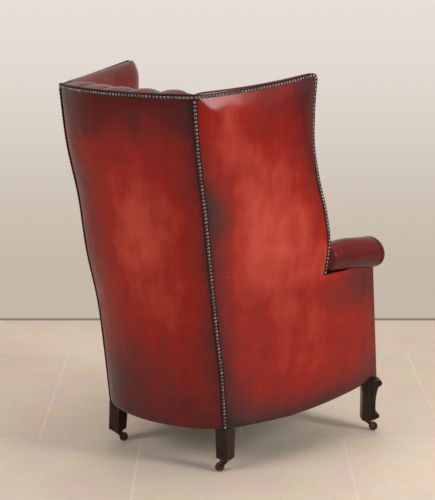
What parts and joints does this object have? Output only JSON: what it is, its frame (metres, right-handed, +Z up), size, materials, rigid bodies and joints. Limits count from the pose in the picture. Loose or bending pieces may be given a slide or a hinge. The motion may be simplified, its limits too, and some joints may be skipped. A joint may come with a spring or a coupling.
{
  "type": "wingback armchair",
  "caption": "High wingback armchair in close-nailed leather with rolled arms, a deep-buttoned back, a loose seat cushion and short legs on castors.",
  "frame": {"origin": "middle of the chair's bounding box, on the floor under the castors", "axes": "+Z up, the chair faces -Y, its left arm is at +X"},
  "size_m": [0.787, 0.8286, 1.1195],
  "materials": {
    "hide_oxblood": "hand-dyed, waxed",
    "hide_dark": "hand-dyed, waxed",
    "banding_leather": "waxed",
    "antique_brass_nails": "antiqued",
    "castor_brass": "aged",
    "leg_mahogany": "dark polished, rubbed edges",
    "beech_frame": "bare",
    "spring_steel": "coppered",
    "webbing_jute": "woven",
    "hessian": "woven"
  },
  "bodies": {
    "chair": {"arm_facing_left": "hide_oxblood", "arm_facing_right": "hide_oxblood", "arm_pad_left": "hide_oxblood", "arm_pad_right": "hide_oxblood", "arm_rail_left": "beech_frame", "arm_rail_right": "beech_frame", "arm_stump_left": "beech_frame", "arm_stump_right": "beech_frame", "back_buttons": "hide_dark", "back_middle_rail": "beech_frame", "back_top_rail": "beech_frame", "castor_plate_front_left": "castor_brass", "castor_plate_front_right": "castor_brass", "castor_plate_rear_left": "castor_brass", "castor_plate_rear_right": "castor_brass", "castor_screws": "castor_brass", "corner_blocks": "beech_frame", "dust_cover": "hessian", "front_border": "hide_oxblood", "front_leg_left": "leg_mahogany", "front_leg_right": "leg_mahogany", "inside_back_pad": "hide_oxblood", "leather_banding": "banding_leather", "nails_facings": "antique_brass_nails", "nails_front_border": "antique_brass_nails", "nails_seams": "antique_brass_nails", "nails_top_edge": "antique_brass_nails", "nails_wing_edges": "antique_brass_nails", "outside_back_panel": "hide_oxblood", "outside_side_panel_left": "hide_oxblood", "outside_side_panel_right": "hide_oxblood", "rear_leg_left": "leg_mahogany", "rear_leg_right": "leg_mahogany", "rear_post_left": "beech_frame", "rear_post_right": "beech_frame", "seat_back_rail": "beech_frame", "seat_deck": "hide_oxblood", "seat_front_rail": "beech_frame", "seat_hessian": "hessian", "seat_side_rail_left": "beech_frame", "seat_side_rail_right": "beech_frame", "seat_springs": "spring_steel", "seat_webbing": "webbing_jute", "wing_pad_left": "hide_oxblood", "wing_pad_right": "hide_oxblood", "wing_post_left": "beech_frame", "wing_post_right": "beech_frame", "wing_rail_left": "beech_frame", "wing_rail_right": "beech_frame"},
    "seat_cushion": {"cushion_piping": "hide_dark", "seat_cushion": "hide_oxblood"},
    "horn_rear_right": {"castor_horn_rear_right": "castor_brass"},
    "wheel_rear_right": {"castor_wheel_rear_right": "castor_brass"},
    "horn_rear_left": {"castor_horn_rear_left": "castor_brass"},
    "wheel_rear_left": {"castor_wheel_rear_left": "castor_brass"},
    "horn_front_right": {"castor_horn_front_right": "castor_brass"},
    "wheel_front_right": {"castor_wheel_front_right": "castor_brass"},
    "horn_front_left": {"castor_horn_front_left": "castor_brass"},
    "wheel_front_left": {"castor_wheel_front_left": "castor_brass"}
  },
  "joints": [
    {"name": "cushion_lift", "type": "slide", "parent": "chair", "child": "seat_cushion", "axis": [0, 0, 1], "range_m": [0, 0.25]},
    {"name": "swivel_rear_right", "type": "hinge", "parent": "chair", "child": "horn_rear_right", "pos_m": [-0.2035, 0.172, 0.031], "axis": [0, 0, 1], "continuous": true},
    {"name": "wheel_spin_rear_right", "type": "hinge", "parent": "horn_rear_right", "child": "wheel_rear_right", "pos_m": [-0.19618, 0.18844, 0.013], "axis": [-0.9135, 0.4067, 0], "continuous": true},
    {"name": "swivel_rear_left", "type": "hinge", "parent": "chair", "child": "horn_rear_left", "pos_m": [0.2035, 0.172, 0.031], "axis": [0, 0, 1], "continuous": true},
    {"name": "wheel_spin_rear_left", "type": "hinge", "parent": "horn_rear_left", "child": "wheel_rear_left", "pos_m": [0.18932, 0.16092, 0.013], "axis": [0.6157, -0.788, 0], "continuous": true},
    {"name": "swivel_front_right", "type": "hinge", "parent": "chair", "child": "horn_front_right", "pos_m": [-0.33114, -0.37014, 0.031], "axis": [0, 0, 1], "continuous": true},
    {"name": "wheel_spin_front_right", "type": "hinge", "parent": "horn_front_right", "child": "wheel_front_right", "pos_m": [-0.34533, -0.38122, 0.013], "axis": [0.6157, -0.788, 0], "continuous": true},
    {"name": "swivel_front_left", "type": "hinge", "parent": "chair", "child": "horn_front_left", "pos_m": [0.33114, -0.37014, 0.031], "axis": [0, 0, 1], "continuous": true},
    {"name": "wheel_spin_front_left", "type": "hinge", "parent": "horn_front_left", "child": "wheel_front_left", "pos_m": [0.34014, -0.38573, 0.013], "axis": [0.866, 0.5, 0], "continuous": true}
  ]
}
